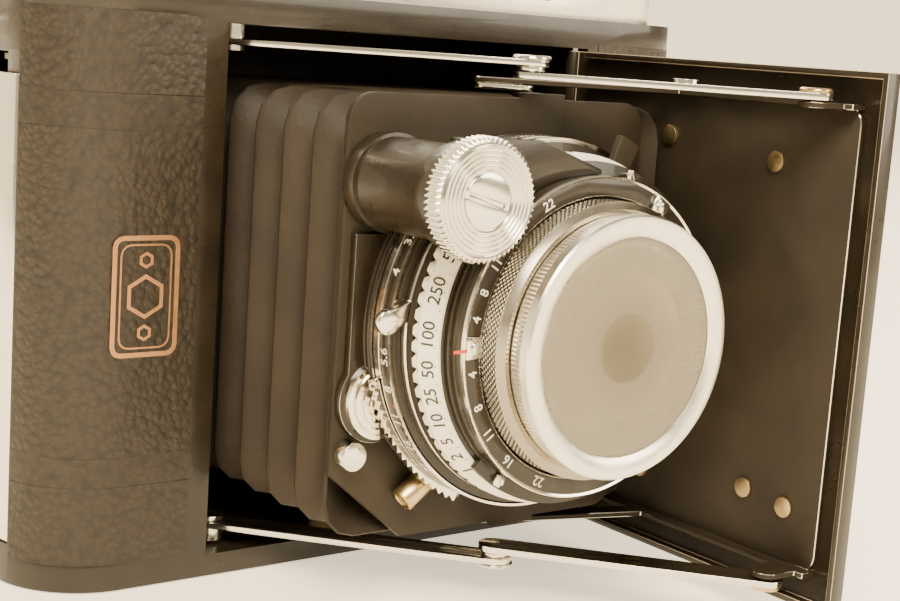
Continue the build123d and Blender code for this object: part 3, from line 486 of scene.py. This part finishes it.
# ---- engraved numbers and marks ----
# Filled figures on the scales, each set of one colour joined as one piece.
def figures(name, body, finish, marks, size):
    made = []
    for text, origin, right, up in marks:
        bpy.ops.object.select_all(action="DESELECT")
        bpy.ops.object.text_add()
        letter = bpy.context.object
        letter.data.body = text
        letter.data.size = size / 1000
        letter.data.align_x = letter.data.align_y = "CENTER"
        letter.data.resolution_u = 3
        letter.data.extrude = 0.00002
        letter.data.offset = 0.00004 if size > 2.5 else 0.00001
        bpy.ops.object.convert(target="MESH")
        letter = bpy.context.object
        turn = Matrix((right, up, right.cross(up))).transposed().to_4x4()
        letter.data.transform(Matrix.Translation(origin) @ turn)
        made.append(letter)
    for letter in made:
        letter.select_set(True)
    bpy.context.view_layer.objects.active = made[0]
    if len(made) > 1:
        bpy.ops.object.join()
    piece = bpy.context.object
    piece.name = name
    piece.data.materials.clear()
    piece.data.materials.append(finish.material)
    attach(piece, body)
    return piece


def round_lens(angle, radius, place, slope=(1.0, 0.0)):
    """A point on a surface round the lens, with the directions in which its figures read and stand."""
    a = math.radians(angle)
    outward = Vector((math.cos(a), 0, math.sin(a)))
    right = Vector((math.sin(a), 0, -math.cos(a)))
    up = (Vector((0, 1, 0)) * slope[0] + outward * slope[1]).normalized()
    return mm(radius * outward.x, place, LENS_Z + radius * outward.z), right, up


speeds = zip(("500", "250", "100", "50", "25", "10", "5", "2", "1"), (150, 164, 178, 189, 198, 207, 215, 222, 229))
figures(
    "speed_figures", "speeds", black,
    [(text, *round_lens(angle, 24.09, -38.95, (1.0, 0.605))) for text, angle in speeds], 2.5,
)
figures(
    "speed_ticks", "speeds", black,
    [("I", *round_lens(angle, 23.56, -39.88, (1.0, 0.605))) for angle in range(146, 236, 6)], 0.5,
)
stops = zip(("3.5", "4", "5.6", "8", "11", "16", "22"), (151, 162, 187, 197, 207, 217, 227))
figures(
    "stop_figures", "standard", white,
    [(text, *round_lens(angle, 26.44, -32.4)) for text, angle in stops], 2.1,
)
depths = zip(
    ("22", "16", "11", "8", "4", "4", "8", "11", "16", "22"), (118, 136, 149, 160, 170, 190, 203, 215, 230, 248)
)
figures(
    "depth_figures", "standard", white,
    [(text, *round_lens(angle, 20.75, -44.23, (0.0, 1.0))) for text, angle in depths], 1.9,
)
figures(
    "red_marks", "standard", red,
    [("I", *round_lens(181, 22.6, -44.42, (0.0, 1.0))), (".", *round_lens(202, 26.5, -32.2))], 3.6,
)

# ---- bellows ----
# Cloth-lined leather in broad pleats, a squared tube with rounded corners from the gate to the lens board.
bpy.ops.object.select_all(action="DESELECT")
bpy.ops.mesh.primitive_plane_add(size=1, location=mm(0, GATE_Y, LENS_Z), rotation=(math.pi / 2, 0, 0))
bellows = bpy.context.object
bellows.name = "pleated_bellows"
bpy.ops.object.mode_set(mode="EDIT")
bpy.ops.mesh.select_all(action="SELECT")
tube_width, tube_height = 0.0576, 0.061
bpy.ops.transform.resize(value=(tube_width, 1, tube_height), center_override=mm(0, GATE_Y, LENS_Z))
bpy.ops.mesh.bevel(offset=0.005, segments=3, affect="VERTICES")
bpy.ops.mesh.select_all(action="SELECT")
bpy.ops.mesh.delete(type="ONLY_FACE")
bpy.ops.mesh.select_all(action="SELECT")
pleats, valley = 8, 0.86
depth = (GATE_Y - BOARD_Y) / (2 * pleats)
for fold in range(2 * pleats):
    bpy.ops.mesh.extrude_region_move(TRANSFORM_OT_translate={"value": (0, -depth / 1000, 0)})
    share = valley if fold % 2 == 0 else 1 / valley
    centre = mm(0, GATE_Y - depth * (fold + 1), LENS_Z)
    bpy.ops.transform.resize(value=(share, 1, share), center_override=centre)
bpy.ops.mesh.select_all(action="SELECT")
bpy.ops.mesh.normals_make_consistent(inside=False)
bpy.ops.object.mode_set(mode="OBJECT")
bpy.ops.object.transform_apply(location=True, rotation=True, scale=True)
for kind, values in (
    ("BEVEL", {"width": 0.0005, "segments": 2, "limit_method": "ANGLE", "angle_limit": 0.9}),
    ("SOLIDIFY", {"thickness": 0.0005, "offset": -1.0}),
):
    step = bellows.modifiers.new(kind, kind)
    for key, value in values.items():
        setattr(step, key, value)
    bpy.ops.object.modifier_apply(modifier=kind)
bpy.ops.object.shade_smooth_by_angle(angle=math.radians(40))
bellows.data.materials.append(cloth.material)
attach(bellows, "body")
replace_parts(bellows, "bellows")
mm(0, 37.5, LENS_Z)
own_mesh(bellows)


# ---- emblem on the leather ----
# A foil-stamped outline with a six-sided iris in it, as a plain ornament.
def foil(name, centre, corners, across, high, line):
    bpy.ops.object.select_all(action="DESELECT")
    bpy.ops.mesh.primitive_circle_add(
        vertices=corners, radius=0.5, fill_type="NGON", location=centre, rotation=(math.pi / 2, 0, 0)
    )
    piece = bpy.context.object
    piece.name = name
    bpy.ops.object.mode_set(mode="EDIT")
    bpy.ops.mesh.select_all(action="SELECT")
    if corners == 4:
        bpy.ops.transform.rotate(value=math.pi / 4, orient_axis="Y", center_override=centre)
        bpy.ops.transform.resize(value=(math.sqrt(2), 1, math.sqrt(2)), center_override=centre)
    bpy.ops.transform.resize(value=(across / 1000, 1, high / 1000), center_override=centre)
    if corners == 4:
        bpy.ops.mesh.bevel(offset=0.0016, segments=3, affect="VERTICES")
        bpy.ops.mesh.select_all(action="SELECT")
    bpy.ops.mesh.inset(thickness=line / 1000)
    bpy.ops.mesh.delete(type="FACE")
    bpy.ops.mesh.select_all(action="SELECT")
    bpy.ops.mesh.extrude_region_move(TRANSFORM_OT_translate={"value": (0, -0.00012, 0)})
    bpy.ops.mesh.select_all(action="SELECT")
    bpy.ops.mesh.normals_make_consistent(inside=False)
    bpy.ops.object.mode_set(mode="OBJECT")
    bpy.ops.object.transform_apply(location=True, rotation=True, scale=True)
    piece.data.materials.append(copper.material)
    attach(piece, "body")
    return piece


EMBLEM_X, EMBLEM_Y = -45.2, -0.08
foil("emblem_frame", mm(EMBLEM_X, EMBLEM_Y, 43.0), 4, 10.4, 17.4, 0.7)
foil("emblem_line", mm(EMBLEM_X, EMBLEM_Y, 43.0), 4, 8.0, 15.0, 0.25)
foil("emblem_iris", mm(EMBLEM_X, EMBLEM_Y, 43.0), 6, 6.4, 6.4, 0.55)
foil("emblem_upper", mm(EMBLEM_X, EMBLEM_Y, 48.2), 6, 2.4, 2.4, 0.4)
foil("emblem_lower", mm(EMBLEM_X, EMBLEM_Y, 37.8), 6, 2.4, 2.4, 0.4)

# ---- table, light and camera ----
# A cream table that runs up into a glowing backdrop, a soft window to the upper left and warm haze all round.
cream = Finish("cream_table")
cream.set(Base_Color=cream.mix(cream.noise(9, 4), (0.86, 0.74, 0.54), (0.92, 0.82, 0.63)))
cream.set(Roughness=cream.noise(30, 3) * 0.1 + 0.75)
glow = cream.mix(cream.noise(5, 3), (1.0, 0.86, 0.63), (1.0, 0.90, 0.70))
cream.set(Emission_Color=glow, Emission_Strength=1.1)
bpy.ops.object.select_all(action="DESELECT")
bpy.ops.mesh.primitive_plane_add(size=10, location=(0, -2, -0.0002))
table = bpy.context.object
table.name = "table"
bpy.ops.object.mode_set(mode="EDIT")
bpy.ops.mesh.select_all(action="DESELECT")
bpy.ops.object.mode_set(mode="OBJECT")
for edge in table.data.edges:
    edge.select = all(table.data.vertices[v].co.y > 1 for v in edge.vertices)
bpy.ops.object.mode_set(mode="EDIT")
bpy.ops.mesh.select_mode(type="EDGE")
bpy.ops.mesh.extrude_region_move(TRANSFORM_OT_translate={"value": (0, 0.6, 5)})
bpy.ops.object.mode_set(mode="OBJECT")
table.data.materials.append(cream.material)

world = bpy.data.worlds.new("haze")
bpy.context.scene.world = world
world.use_nodes = True
world.node_tree.nodes["Background"].inputs[0].default_value = (1.0, 0.86, 0.62, 1)
world.node_tree.nodes["Background"].inputs[1].default_value = 0.75
for name, place, power, size, colour in (
    ("window", (-0.45, -0.65, 0.85), 34.0, 0.55, (1.0, 0.90, 0.72)),
    ("fill", (0.7, -0.8, 0.5), 12.0, 0.6, (1.0, 0.88, 0.68)),
    ("behind", (0.3, 0.9, 0.9), 20.0, 0.8, (1.0, 0.92, 0.76)),
):
    light = bpy.data.lights.new(name, "AREA")
    light.energy, light.size, light.color = power, size, colour
    lamp = bpy.data.objects.new(name, light)
    lamp.location = place
    lamp.rotation_euler = (Vector((0, -0.03, 0.04)) - Vector(place)).to_track_quat("-Z", "Y").to_euler()
    bpy.context.scene.collection.objects.link(lamp)

azimuth, elevation, roll = (math.radians(value) for value in (-37.81, 9.18, 4.0))
back = Vector(
    (math.sin(azimuth) * math.cos(elevation), -math.cos(azimuth) * math.cos(elevation), math.sin(elevation))
)
level = back.cross(Vector((0, 0, 1))).normalized() * -1
rise = back.cross(level)
across = level * math.cos(roll) + rise * math.sin(roll)
upward = rise * math.cos(roll) - level * math.sin(roll)
eye = bpy.data.cameras.new("eye")
eye.lens, eye.sensor_width, eye.clip_start = 63.42, 36.0, 0.01
camera = bpy.data.objects.new("eye", eye)
stand = Matrix.Translation((-0.1464, -0.2206, 0.0811))  # metres from the tripod socket
camera.matrix_world = stand @ Matrix((across, upward, back)).transposed().to_4x4()
bpy.context.scene.collection.objects.link(camera)
bpy.context.scene.camera = camera
